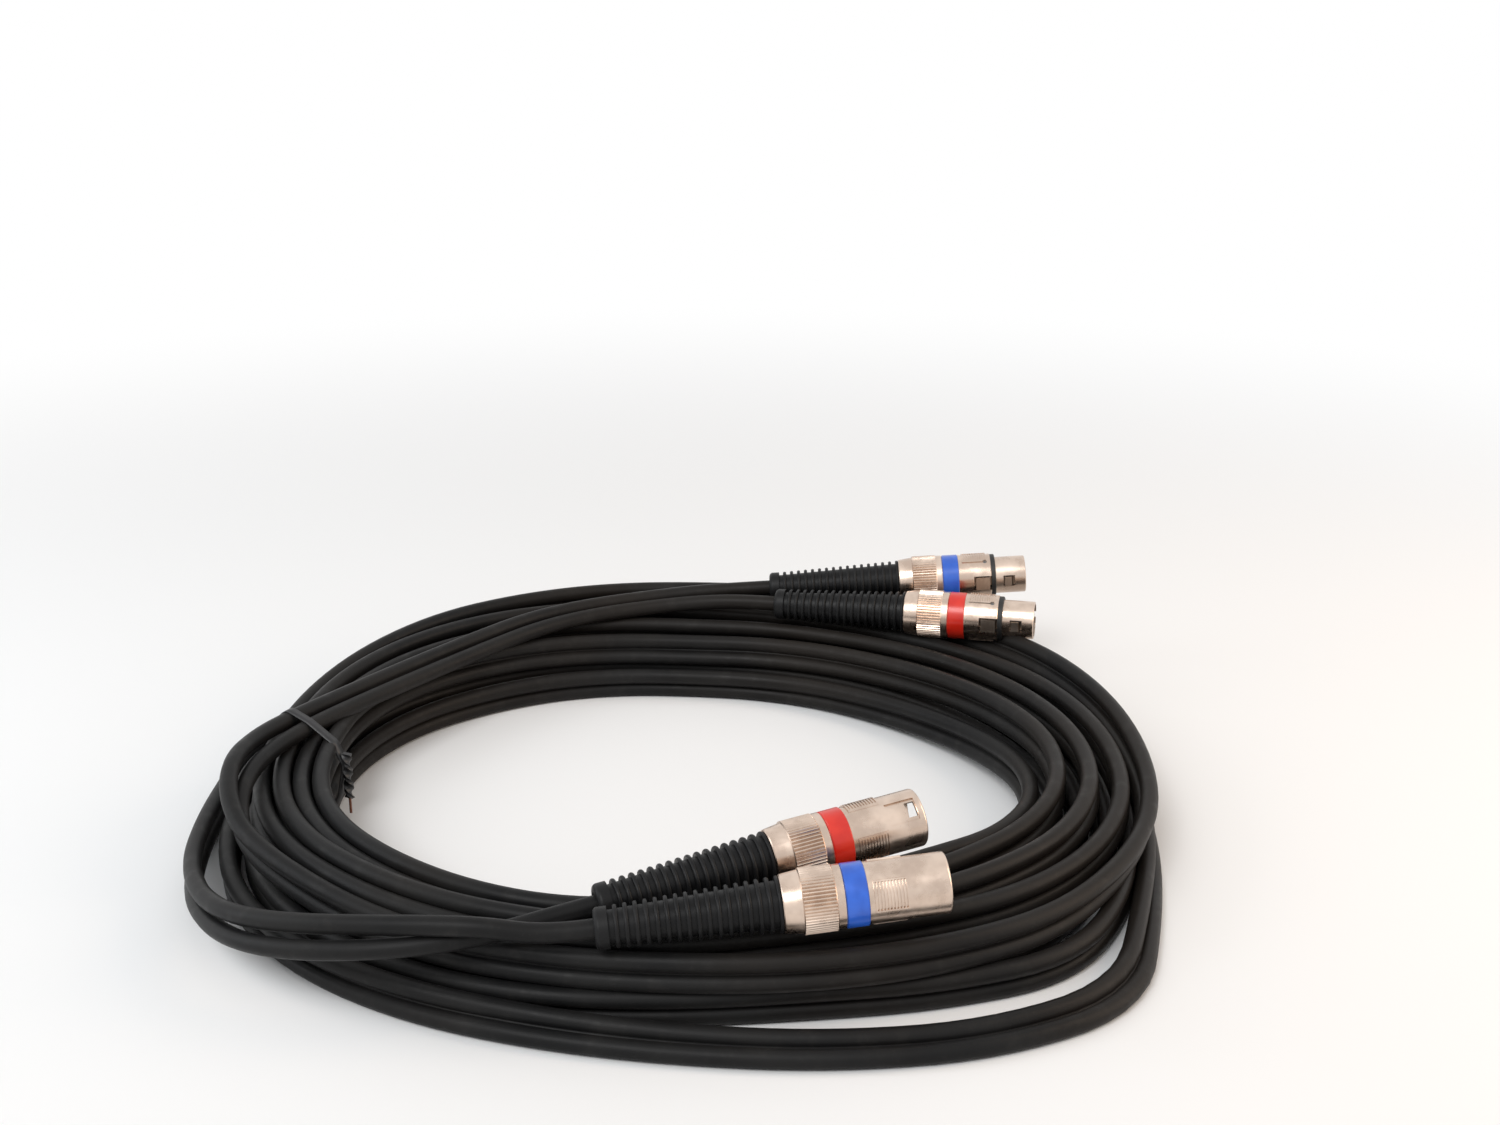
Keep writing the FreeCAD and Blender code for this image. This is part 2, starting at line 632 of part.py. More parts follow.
def make_sockets():
    front = SHELL_REAR + FEMALE_BODY_LENGTH + NOSE_LENGTH - INSERT_SETBACK - SOCKET_LID - SEAT
    body_start = INSERT_REAR + CUP_SHOULDER
    bore_start = front - SOCKET_DEPTH
    steps = [
        (CUP_REAR, CUP_R), (body_start, CUP_R), (body_start, SOCKET_R), (front, SOCKET_R),
        (front, PIN_R + SEAT), (bore_start, PIN_R + SEAT), (bore_start, 0.0),
        (CUP_REAR + CUP_DEPTH, 0.0), (CUP_REAR + CUP_DEPTH, CUP_BORE_R)]
    socket = turned((CUP_REAR, CUP_BORE_R), steps)
    half = SOCKET_SLIT / 2
    wide = SOCKET_R + OVER
    socket = socket.cut(block(front - SOCKET_SLIT_LENGTH, front + OVER, -half, half, -wide, wide))
    return contacts(socket)


def make_chuck():
    bore = CORE_D / 2 + SEAT
    flange_end = SPIGOT_REAR - RUNNING
    outer = INSERT_BORE_R - RUNNING
    steps = [
        (CHUCK_REAR, CHUCK_FLANGE_R), (flange_end, CHUCK_FLANGE_R), (flange_end, outer),
        (CHUCK_FRONT - CHUCK_EDGE, outer), (CHUCK_FRONT, outer - CHUCK_EDGE), (CHUCK_FRONT, bore)]
    chuck = turned((CHUCK_REAR, bore), steps)
    half = CHUCK_SLOT / 2
    slot = block(flange_end + OVER, CHUCK_FRONT + OVER, -half, half, -OUTSIDE, OUTSIDE)
    return chuck.cut([spun(slot, angle) for angle in (45.0, 135.0)])


def make_cable_end():
    return rod(-BOOT_LENGTH, CABLE_FRONT, CORE_D / 2)


def make_wires():
    """Three wires from the end of the core to the solder cups."""
    placed = []
    end = CUP_REAR + CUP_DEPTH - OVER
    for angle in CONTACT_ANGLES:
        y = math.sin(math.radians(angle))
        z = math.cos(math.radians(angle))
        inner = V(0, y, z) * WIRE_CIRCLE_R
        outer = V(0, y, z) * CONTACT_CIRCLE_R
        points = [
            inner + V(CABLE_FRONT, 0, 0), inner + V(CHUCK_FRONT + WIRE_R, 0, 0),
            outer + V(CUP_REAR - WIRE_R, 0, 0), outer + V(end, 0, 0)]
        wire = route_wire("wire", points)
        placed.append(tube("wire", wire, points[0], V(1, 0, 0), WIRE_R))
    return Part.makeCompound(placed)


def prism(corners, half_width):
    points = [V(x, -half_width, z) for x, z in corners]
    return Part.Face(Part.makePolygon(points + points[:1])).extrude(V(0, 2 * half_width, 0))


def make_latch():
    half = LEVER_HALF_WIDTH
    lever = prism([
        (HINGE_X, LEVER_BOTTOM), (LEVER_END, LEVER_BOTTOM), (LEVER_END, LEVER_TOP),
        (HOOK_END, LEVER_TOP), (HOOK_END - HOOK_SLOPE, HOOK_TOP), (HOOK_START + HOOK_BACK, HOOK_TOP),
        (HOOK_START, LEVER_TOP), (HINGE_X, LEVER_TOP)], half)
    eye = Part.makeCylinder(EYE_R, 2 * half, V(HINGE_X, -half, HINGE_Z), V(0, 1, 0))
    neck = block(TAB_START + EDGE, TAB_END - EDGE, -half, half, LEVER_TOP - FREE, TAB_BOTTOM + FREE)
    tab = block(TAB_START, TAB_END, -TAB_HALF_WIDTH, TAB_HALF_WIDTH, TAB_BOTTOM, TAB_TOP)
    grooves = []
    for i in range(3):
        x = TAB_START + TAB_GROOVE * (1.4 + 2 * i)
        wide = TAB_HALF_WIDTH + OVER
        grooves.append(block(x, x + TAB_GROOVE, -wide, wide, TAB_TOP - TAB_GROOVE / 2, TAB_TOP + OVER))
    latch = lever.fuse([eye, neck, tab.cut(grooves)])
    wide = half + OVER
    return latch.cut(Part.makeCylinder(HINGE_R + SEAT, 2 * wide, V(HINGE_X, -wide, HINGE_Z), V(0, 1, 0)))


def make_hinge_pin():
    half = CHANNEL_HALF_WIDTH + HINGE_GRIP - SEAT
    return Part.makeCylinder(HINGE_R, 2 * half, V(HINGE_X, -half, HINGE_Z), V(0, 1, 0))


def make_leaf_spring():
    floor = CHANNEL_FLOOR + PRESS
    top = LEVER_BOTTOM - LEAF_PLAY
    tip = LEAF_START + LEAF_RETURN
    return prism([
        (LEAF_START, floor), (LEAF_END, floor), (LEAF_END, floor + LEAF_T), (tip, top),
        (tip - 2 * LEAF_T, top - LEAF_T), (LEAF_END - 4 * LEAF_T, floor + LEAF_T),
        (LEAF_START, floor + LEAF_T)], LEAF_HALF_WIDTH)


def connector_matrix(name):
    end, way, roll = PLACES[name]
    ahead = V(way).normalize()
    up = (V(0, 0, 1) - ahead * ahead.z).normalize()
    side = ahead.cross(up)
    angle = math.radians(roll)
    latch = up * math.cos(angle) + side * math.sin(angle)
    across = latch.cross(ahead)
    base = end + ahead * BOOT_LENGTH
    return FreeCAD.Matrix(
        ahead.x, across.x, latch.x, base.x,
        ahead.y, across.y, latch.y, base.y,
        ahead.z, across.z, latch.z, base.z)


def place(name, pieces):
    matrix = connector_matrix(name)
    for piece, shape in pieces.items():
        shape = shape.copy()
        shape.Placement = FreeCAD.Placement(matrix).multiply(shape.Placement)
        save(name + "_" + piece, shape)


def lead_points(start, first_run, route, name):
    point, way = start
    end, ahead, roll = PLACES[name]
    ahead = V(ahead).normalize()
    middle = [V(*place) for place in route]
    return [point, point + way * first_run] + middle + [end - ahead * LAST_RUN, end]


def make_lead(name, start, first_run, route):
    points = lead_points(start, first_run, route, name)
    wire = route_wire(name + "_lead", points)
    return tube(name + "_lead", wire, points[0], start[1], CORE_D / 2)


def tie_frame(shape):
    shape.rotate(V(0, 0, 0), V(0, 0, 1), 180.0 - TIE_SLANT)
    shape.translate(TIE_CENTRE)
    return shape


def rounded_loop(corners, grow):
    """A closed loop in the plane of the tie, with its corners rounded."""
    count = len(corners)
    starts = []
    for i in range(count):
        u, z, radius = corners[i]
        here = V(u, 0, z)
        back = V(corners[i - 1][0], 0, corners[i - 1][1]) - here
        ahead = V(corners[(i + 1) % count][0], 0, corners[(i + 1) % count][1]) - here
        back.normalize()
        ahead.normalize()
        half = back.getAngle(ahead) / 2
        inward = (back + ahead).normalize()
        here = here - inward * (grow / math.sin(half))
        size = radius + grow
        cut = size / math.tan(half)
        middle = here + inward * (size / math.sin(half) - size)
        starts.append((here + back * cut, middle, here + ahead * cut))
    edges = []
    for i in range(count):
        edges.append(Part.Arc(*starts[i]).toShape())
        edges.append(Part.LineSegment(starts[i][2], starts[(i + 1) % count][0]).toShape())
    return Part.Face(Part.Wire(edges))


def make_tie():
    corners = [(u, z + TIE_T if z == 0 else z, r) for u, z, r in TIE_CORNERS]
    band = rounded_loop(corners, TIE_T).cut(rounded_loop(corners, 0.0))
    band = band.extrude(V(0, TIE_WIDTH, 0))
    band.translate(V(0, -TIE_WIDTH / 2, 0))
    return tie_frame(band)


def tie_notch():
    inner = TIE_CORNERS[0][0] - OVER
    outer = TIE_CORNERS[1][0] + OVER
    half = TIE_WIDTH / 2 + FREE
    notch = block(inner, outer, -half, half, -OVER, TIE_T + FREE)
    return tie_frame(notch)


def twist_place():
    """The twist hangs clear of the strap at any turn."""
    return TIE_CORNERS[0][0] - TIE_T - math.hypot(TWIST_WIDE, TWIST_THIN) / 2 - SEAT


def make_twist():
    """The tie's two ends, twisted together and hanging inside the coil."""
    u = twist_place()
    steps = int(TWIST_TURNS * 8)
    wires = []
    for i in range(steps + 1):
        angle = 2 * math.pi * TWIST_TURNS * i / steps
        z = TWIST_TOP - TWIST_LENGTH * i / steps
        corners = []
        for a, b in ((-1, -1), (1, -1), (1, 1), (-1, 1), (-1, -1)):
            du = a * TWIST_WIDE / 2 * math.cos(angle) - b * TWIST_THIN / 2 * math.sin(angle)
            dv = a * TWIST_WIDE / 2 * math.sin(angle) + b * TWIST_THIN / 2 * math.cos(angle)
            corners.append(V(u + du, dv, z))
        wires.append(Part.makePolygon(corners))
    return tie_frame(Part.makeLoft(wires, True, True))


def make_tail():
    u = twist_place()
    top = TWIST_TOP - TWIST_LENGTH
    return tie_frame(Part.makeCylinder(TAIL_R, TAIL_LENGTH, V(u, 0, top), V(0, 0, -1)))


os.makedirs("parts", exist_ok=True)
TOTAL = FreeCAD.BoundBox()

male_pieces = {
    "shell": make_male_shell(),
    "colour_ring": make_ring(),
    "collar": make_collar(),
    "boot": make_boot(),
    "insert": make_male_insert(),
    "pins": make_pins(),
    "chuck": make_chuck(),
    "wires": make_wires(),
    "cable_end": make_cable_end(),
}
female_pieces = {
    "shell": make_female_shell(),
    "gasket": make_gasket(),
    "colour_ring": male_pieces["colour_ring"],
    "collar": male_pieces["collar"],
    "boot": male_pieces["boot"],
    "insert": make_female_insert(),
    "sockets": make_sockets(),
    "chuck": male_pieces["chuck"],
    "wires": male_pieces["wires"],
    "cable_end": male_pieces["cable_end"],
    "latch": make_latch(),
    "latch_pin": make_hinge_pin(),
    "latch_spring": make_leaf_spring(),
    "insert_screw": make_screw(),
}
for colour in ("red", "blue"):
    place(colour + "_male", male_pieces)
    place(colour + "_female", female_pieces)

for colour, core_z in (("red", LOWER_Z), ("blue", LOWER_Z + CORE_STEP)):
    wire, begin, finish = coil_wire(core_z)
    gap = own_gap(wire, int(4 * CORE_D / GAP_SAMPLE))
    print(colour + "_coil least gap to itself", round(gap, 2), "over", LEAST_GAP, gap > LEAST_GAP)
    coil = tube(colour + "_coil", wire, begin[0], begin[1], CORE_D / 2)
    female_route = RED_FEMALE_ROUTE if colour == "red" else BLUE_FEMALE_ROUTE
    male_route = RED_MALE_ROUTE if colour == "red" else BLUE_MALE_ROUTE
    female_lead = make_lead(colour + "_female", begin, FEMALE_FIRST_RUN, female_route)
    male_lead = make_lead(colour + "_male", finish, MALE_FIRST_RUN, male_route)
    if colour == "red":
        coil = floor_cut(coil).cut(tie_notch())
        male_lead = floor_cut(male_lead).cut(tie_notch())
    save(colour + "_coil", coil)
    save(colour + "_female_lead", female_lead)
    save(colour + "_male_lead", male_lead)

save("tie_strap", make_tie())
save("tie_twist", make_twist())
save("tie_wire", make_tail())
print("box", TOTAL, "centre", round(TOTAL.Center.x, 2), round(TOTAL.Center.y, 2))
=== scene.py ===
import json
import math
from collections import namedtuple

import bmesh
import bpy
import numpy as np
from mathutils import Euler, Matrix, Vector


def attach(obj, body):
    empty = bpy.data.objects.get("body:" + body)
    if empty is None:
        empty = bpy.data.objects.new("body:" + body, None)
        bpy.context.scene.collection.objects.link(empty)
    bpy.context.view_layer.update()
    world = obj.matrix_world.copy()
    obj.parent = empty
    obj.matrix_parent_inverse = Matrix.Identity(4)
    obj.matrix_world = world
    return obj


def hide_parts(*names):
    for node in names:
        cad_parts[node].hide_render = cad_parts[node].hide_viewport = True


# A coiled twin microphone cable with four metal connectors, held by a twist tie.
# Metres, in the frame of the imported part: +Z up, the photograph's side is -Y.

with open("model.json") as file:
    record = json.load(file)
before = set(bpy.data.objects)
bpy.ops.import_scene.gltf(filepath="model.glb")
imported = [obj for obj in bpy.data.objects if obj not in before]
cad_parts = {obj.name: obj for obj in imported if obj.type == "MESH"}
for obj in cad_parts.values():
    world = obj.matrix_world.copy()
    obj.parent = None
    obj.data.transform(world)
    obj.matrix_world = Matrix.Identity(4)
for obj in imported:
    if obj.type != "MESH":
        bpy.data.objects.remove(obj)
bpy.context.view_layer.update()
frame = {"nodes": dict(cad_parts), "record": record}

# Where the part's origin lies in the layout, which the places and routes below are given in
CENTRE = Vector((0.00163, -0.00891, 0.0))
BODY = "cable"

# Camera: its place in the layout, how far down it looks, its lens and how far it sees
CAMERA_PLACE = Vector((0.0235, -0.654, 0.330))
CAMERA_PITCH = math.radians(19.5)
CAMERA_LENS = 45.6
CAMERA_FAR = 100.0

# Twin cable: a core's diameter, the distance between the cores' middles, and the steps that
# draw a line between two of its points and round its section
CORE_D = 0.0064
CORE_STEP = 0.00685
LOWER_Z = CORE_D / 2
LINE_STEPS = 6
ROUND_STEPS = 4

# The coil in the part, in turns from -X: the upper layer winds inwards from the first turn to
# the reverse turn, goes down there, and the lower layer winds outwards to the last turn
FIRST_TURN = 0.125
REVERSE_TURN = 4.5
LAST_TURN = 9.875
POINTS_PER_TURN = 24
CLIMB_TURNS = 0.5
COIL_INNER_R = 0.130
TURN_PITCH = 0.0082
# The larger a turn is, the further its centre lies to +X
FAN_SHARE = 0.12
FAN_MIDDLE_R = 0.150
# The turns are flattened on three sides, and bulge about one angle, in degrees from +X
REAR_FLAT = 0.020
FRONT_FLAT = 0.016
RIGHT_FLAT = 0.004
BULGE_INNER = 0.002
BULGE_OUTER = 0.026
BULGE_DEPTH = 0.040
BULGE_ANGLE = 310.0
BULGE_HALF_WIDTH = 52.0

# The bundle in the photograph, in millimetres from the layout's middle, at every sixteenth
# of a turn from +X: its inner edge, the outer edges of its lower and upper turns, the turn
# that stands off it in front, and the height of its top at the inner and at the outer edge
INNER_EDGE = (123, 108, 99, 96, 96.5, 106, 116.5, 127, 128.5, 132, 129.5, 128, 117, 112, 114, 127)
OUTER_EDGE = (177, 180, 176, 165, 157.5, 163, 166, 171, 176, 182, 181, 173, 165, 173, 202, 184)
UPPER_EDGE = (175, 176, 174, 166, 158, 163, 168, 168, 166, 166, 160, 156, 151, 157, 173, 178)
LOOSE_EDGE = (177, 180, 178, 168, 157, 170, 180, 183, 176, 182, 180, 174, 175.5, 190.5, 207, 175)
TOP_INSIDE = (28, 24, 20, 19, 19, 22, 26, 28, 29, 29, 30, 30, 30, 30, 30, 29)
TOP_OUTSIDE = (31, 35, 38, 40, 40, 40, 38, 34, 27, 26, 26, 26, 26, 26, 24, 26)
# The rise of its top halfway between them, and the number of turns in each layer
CROWN = 0.004
UPPER_TURNS = REVERSE_TURN - FIRST_TURN
LOWER_TURNS = LAST_TURN - REVERSE_TURN

# Small waves of each core, in and out (sway) and up and down (bob): each wave's rate for a
# turn, its shift, and what the second core adds to the shift
SWAY = 0.0010
SWAY_WAVES = ((1.31, 0.0, 2.0), (2.17, 1.0, 0.0))
BOB = 0.0008
BOB_WAVES = ((1.73, 1.0, 0.0), (2.63, 0.0, 3.0))

# Spans of turns, as where each one starts, is full, still is full and ends: the upper turn that
# is lifted at the rear, the loose turn in front, and where its cores lie side by side
LIFT_SPAN = (0.45, 0.7, 0.82, 0.98)
REAR_LIFT = 0.008
LOOSE_SPAN = (8.98, 9.2, 9.37, 9.47)
FLAT_SPAN = (9.1, 9.24, 9.375, 9.48)
FLAT_STEP = 0.0067
FLAT_RISE = 0.0014

# Settling. The distance between two cores' middles, the gap to what lies over the coil, and a
# connector's radius
CORE_ROOM = 0.00645
LEAD_GAP = 0.0001
CONNECTOR_R = 0.0105
# How far a core may lie from its place in the part, and over how many points at the coil's
# ends this grows from almost nothing
WANDER = 0.0120
END_WANDER = 0.0005
END_POINTS = 8
# How much each step evens out, draws back and pushes apart. The last steps only push apart
EVEN_OUT = 0.3
DRAW_BACK = 0.97
PUSH_APART = 0.25
SETTLE_STEPS = 400
LAST_STEPS = 120
# How far a core's middle may stand from the layout's middle, for the way out to each side
SIDE_ROOM = ((1.0, 0.0, 0.1800), (-1.0, 0.0, 0.1768), (0.0, 1.0, 0.1546), (0.0, -1.0, 0.1724))
SIDE_FACING = 0.01
# Nothing that lies over the coil is nearer to its middle than this
HOLE_R = 0.05
# Keeps a divisor above zero
TINY = 1e-9

# Leads between the coil and the boots, in layout metres
RED_FEMALE_ROUTE = (
    (-0.1457, -0.0808, 0.0214), (-0.1550, -0.0602, 0.0288), (-0.1558, -0.0385, 0.0328),
    (-0.1504, -0.0168, 0.0330), (-0.1416, 0.0032, 0.0322), (-0.1314, 0.0218, 0.0312),
    (-0.1200, 0.0405, 0.0302), (-0.1058, 0.0602, 0.0300), (-0.0870, 0.0832, 0.0305),
    (-0.0668, 0.1048, 0.0315), (-0.0438, 0.1180, 0.0325), (-0.0188, 0.1250, 0.0335),
    (0.0014, 0.1268, 0.0350))
BLUE_FEMALE_ROUTE = (
    (-0.1458, -0.0826, 0.0282), (-0.1572, -0.0628, 0.0350), (-0.1612, -0.0398, 0.0382),
    (-0.1577, -0.0158, 0.0364), (-0.1488, 0.0058, 0.0345), (-0.1380, 0.0244, 0.0335),
    (-0.1264, 0.0440, 0.0325), (-0.1118, 0.0646, 0.0323), (-0.0926, 0.0880, 0.0328),
    (-0.0714, 0.1108, 0.0336), (-0.0464, 0.1246, 0.0344), (-0.0198, 0.1320, 0.0354),
    (0.0006, 0.1344, 0.0370))
RED_MALE_ROUTE = (
    (-0.1648, 0.0567, 0.0032), (-0.1749, 0.0215, 0.0032), (-0.1754, -0.0050, 0.0032),
    (-0.1750, -0.0270, 0.0036), (-0.1728, -0.0490, 0.0052), (-0.1691, -0.0705, 0.0075),
    (-0.1630, -0.0910, 0.0107), (-0.1534, -0.1110, 0.0143), (-0.1408, -0.1283, 0.0183),
    (-0.1258, -0.1407, 0.0222), (-0.1082, -0.1487, 0.0257), (-0.0895, -0.1528, 0.0286),
    (-0.0710, -0.1528, 0.0306), (-0.0535, -0.1465, 0.0306))
BLUE_MALE_ROUTE = (
    (-0.1648, 0.0567, 0.01005), (-0.1749, 0.0215, 0.01005), (-0.1754, -0.0040, 0.0101),
    (-0.1752, -0.0250, 0.0106), (-0.1732, -0.0465, 0.0120), (-0.1698, -0.0672, 0.0142),
    (-0.1639, -0.0870, 0.0169), (-0.1550, -0.1063, 0.0203), (-0.1428, -0.1228, 0.0243),
    (-0.1278, -0.1350, 0.0283), (-0.1102, -0.1436, 0.0320), (-0.0912, -0.1492, 0.0350),
    (-0.0725, -0.1532, 0.0372), (-0.0560, -0.1549, 0.0376))
LAST_RUN = 0.015

# Connectors: where the boot starts and the way it points, in layout metres, the lengths of the
# boot and of the metal past it, and the pieces of a socket connector
PLACES = {
    "red_male": ((-0.0242, -0.1351, 0.0338), (0.9402, 0.3200, 0.1165)),
    "blue_male": ((-0.0235, -0.1512, 0.0348), (0.9895, 0.1195, 0.0812)),
    "red_female": ((0.0348, 0.1210, 0.0366), (0.9748, -0.2225, 0.0156)),
    "blue_female": ((0.0324, 0.1352, 0.0388), (0.9969, -0.0334, 0.0717)),
}
ROUTES = {
    "red_male": RED_MALE_ROUTE, "blue_male": BLUE_MALE_ROUTE,
    "red_female": RED_FEMALE_ROUTE, "blue_female": BLUE_FEMALE_ROUTE}
BOOT_LENGTH = 0.057
METAL_LENGTH = 0.053
FEMALE_PIECES = (
    "shell", "gasket", "colour_ring", "collar", "boot", "insert", "sockets", "chuck", "wires",
    "cable_end", "latch", "latch_pin", "latch_spring", "insert_screw")

# Web of jacket between the cores: its thickness, how far it reaches into each core, the sides
# of its section, and within what distance the points of its seam are merged
WEB_THICKNESS = 0.0016
WEB_OVERLAP = 0.0006
WEB_SIDES = 4
WEB_MERGE = 0.00001

# Tie: a band in an upright plane that stands at a slant to +X, round what is within its reach
TIE_CENTRE = Vector((-0.152, 0.004, 0.0))
TIE_SLANT = math.radians(28.0)
TIE_WIDTH = 0.0038
TIE_THICKNESS = 0.0005
TIE_REACH = 0.060
TIE_STEPS = 96
TIE_MERGE = 0.0003
# In the tie's own plane, what draws the band out to the twist of its ends
TIE_KNOT = (-0.0236, 0.0210)

# Floor, and between which distances from the middle it fades to plain white
FLOOR_REACH = 30.0
FLOOR_FADE = (0.34, 0.95)
WHITE = (1.0, 1.0, 1.0, 1.0)

# Light: the world's, the sun, and each lamp's place, target, size, power and colour
WORLD_LIGHT = 0.54
SUN_LIGHT = 1.06
SUN_TURN = Euler((math.radians(38), math.radians(-22), 0.0))
SUN_WIDTH = math.radians(24)
SUN_COLOUR = (0.985, 0.985, 0.985)
LAMPS = {
    "key": ((-0.55, -0.75, 1.0), (0, 0, 0), (0.5, 0.7), 3.0, (0.98, 0.98, 0.98)),
    "side": ((-0.80, -0.05, 0.36), (-0.12, 0, 0), (0.35, 0.6), 1.4, (0.90, 0.95, 1.0)),
    "rim": ((0.85, -0.1, 0.42), (0.1, 0, 0), (0.35, 0.8), 3.2, (1.0, 0.76, 0.56)),
}

# A core's own object, its control points and the points along its middle
Cord = namedtuple("Cord", "line points samples")


def make_camera():
    data = bpy.data.cameras.new("camera")
    data.lens = CAMERA_LENS
    data.clip_end = CAMERA_FAR
    camera = bpy.data.objects.new("camera", data)
    camera.location = CAMERA_PLACE - CENTRE
    camera.rotation_euler = Euler((math.pi / 2 - CAMERA_PITCH, 0.0, 0.0))
    bpy.context.collection.objects.link(camera)
    bpy.context.scene.camera = camera


def smooth(value, low, high):
    """0 up to low and 1 from high on, with a soft change between."""
    share = min(1.0, max(0.0, (value - low) / (high - low)))
    return share * share * (3.0 - 2.0 * share)


def within(turn, span):
    """1 inside a span of turns and 0 outside it, with soft ends."""
    start, full, still_full, end = span
    return smooth(turn, start, full) * (1 - smooth(turn, still_full, end))


def ripple(turn, core, waves):
    """The sum of a core's waves at a place of the coil."""
    wave = 2 * math.pi * turn
    return sum(math.sin(rate * wave + shift + twin * core) for rate, shift, twin in waves)


def edge_value(table, angle):
    """A table's value at an angle, in metres, on a smooth closed curve through the table."""
    count = len(table)
    place = (angle / (2 * math.pi) * count) % count
    index = int(place)
    t = place - index
    p = [table[(index + k) % count] for k in (-1, 0, 1, 2)]
    rise = (p[2] - p[0]) / 2
    fall = (p[3] - p[1]) / 2
    gap = p[2] - p[1]
    value = p[1] + t * (rise + t * (3 * gap - 2 * rise - fall + t * (rise + fall - 2 * gap)))
    return value / 1000


def turn_angle(turn):
    """The angle from +X at a place of the coil, which is counted in turns from -X."""
    return math.pi + 2 * math.pi * turn


def turn_circle(turn):
    """Radius of a turn in the part, and how far along X its centre is, which makes the fan."""
    radius = COIL_INNER_R + TURN_PITCH * abs(turn - REVERSE_TURN)
    return radius, FAN_SHARE * (radius - FAN_MIDDLE_R)


def model_place(turn, core):
    """Distance from the layout's middle and height of a core in the part's coil."""
    radius, centre_x = turn_circle(turn)
    angle = turn_angle(turn)
    side = math.sin(angle)
    offset = -REAR_FLAT * max(0.0, side) ** 2 - FRONT_FLAT * min(0.0, side) ** 2
    offset -= RIGHT_FLAT * max(0.0, math.cos(angle)) ** 2
    off_angle = (math.degrees(angle) - BULGE_ANGLE + 180.0) % 360.0 - 180.0
    if abs(off_angle) < BULGE_HALF_WIDTH:
        share = min(1.0, (radius - COIL_INNER_R) / BULGE_DEPTH) ** 2
        bulge = BULGE_INNER + BULGE_OUTER * share
        offset += bulge * math.cos(math.radians(90.0 * off_angle / BULGE_HALF_WIDTH)) ** 2
    climb = smooth(turn, REVERSE_TURN - CLIMB_TURNS / 2, REVERSE_TURN + CLIMB_TURNS / 2)
    height = LOWER_Z + core * CORE_STEP + (1 - climb) * 2 * CORE_STEP
    return radius + offset + centre_x * math.cos(angle), height


def wanted_place(turn, core):
    """Where a core lies in the photograph, before the turns settle on each other."""
    height = model_place(turn, core)[1]
    angle = turn_angle(turn)
    upper = turn < REVERSE_TURN
    inner = edge_value(INNER_EDGE, angle)
    outer = edge_value(UPPER_EDGE if upper else OUTER_EDGE, angle)
    share = abs(turn - REVERSE_TURN) / (UPPER_TURNS if upper else LOWER_TURNS)
    wanted = inner + CORE_D / 2 + share * (outer - inner - CORE_D)
    wanted += SWAY * ripple(turn, core, SWAY_WAVES)
    loose = within(turn, LOOSE_SPAN)
    flat = within(turn, FLAT_SPAN)
    loose_reach = edge_value(LOOSE_EDGE, angle) - CORE_D / 2 - FLAT_STEP * core * flat
    wanted += (loose_reach - wanted) * loose
    low_top = edge_value(TOP_INSIDE, angle)
    high_top = edge_value(TOP_OUTSIDE, angle)
    top = low_top + share * (high_top - low_top) + CROWN * 4 * share * (1 - share)
    rise = (height - LOWER_Z) / (3 * CORE_STEP) * (top - CORE_D)
    rise += (FLAT_RISE * core - rise) * flat
    lift = REAR_LIFT * within(turn, LIFT_SPAN)
    bob = BOB * ripple(turn, core, BOB_WAVES)
    return wanted, LOWER_Z + rise + lift + bob * (1 - loose)


def side_reach(angle):
    """How far out a core's middle may lie at an angle, inside the part's own box."""
    facing = [(x * math.cos(angle) + y * math.sin(angle), room) for x, y, room in SIDE_ROOM]
    return min(room / share for share, room in facing if share > SIDE_FACING)


def crossings(samples, angle):
    """Where a line passes an angle round the coil, as distance out and height."""
    out = Vector((math.cos(angle), math.sin(angle), 0.0))
    along = Vector((-math.sin(angle), math.cos(angle), 0.0))
    found = []
    for a, b in zip(samples, samples[1:]):
        before = a.dot(along)
        after = b.dot(along)
        if before * after <= 0 and before != after and a.dot(out) > HOLE_R:
            p = a.lerp(b, before / (before - after))
            found.append((p.dot(out), p.z))
    return found


def keep_out(leads):
    """What lies over the coil at each station: distance out, height and the room it takes."""
    found = []
    for station in range(POINTS_PER_TURN):
        angle = 2 * math.pi * station / POINTS_PER_TURN
        rows = []
        for samples in leads:
            rows += [(r, z, CORE_D) for r, z in crossings(samples, angle)]
        for end, way in PLACES.values():
            start = Vector(end)
            ahead = Vector(way).normalized() * (BOOT_LENGTH + METAL_LENGTH)
            for r, z in crossings([start, start + ahead], angle):
                rows.append((r, z, CONNECTOR_R + CORE_D / 2))
        found.append(rows)
    return found


def push_apart(spots, blocks):
    """A station's cores after one step away from each other and out of what lies over them."""
    gap = spots[:, None] - spots[None, :]
    apart = np.hypot(gap[..., 0], gap[..., 1]) + TINY
    push = np.clip(CORE_ROOM - apart, 0.0, None)
    np.fill_diagonal(push, 0.0)
    spots = spots + PUSH_APART * (gap / apart[..., None] * push[..., None]).sum(axis=1)
    for r, z, room in blocks:
        gap = spots - np.array((r, z))
        apart = np.hypot(gap[:, 0], gap[:, 1]) + TINY
        push = np.clip(room + LEAD_GAP - apart, 0.0, None)
        spots = spots + gap / apart[:, None] * push[:, None]
    spots[:, 1] = np.maximum(spots[:, 1], LOWER_Z)
    return spots


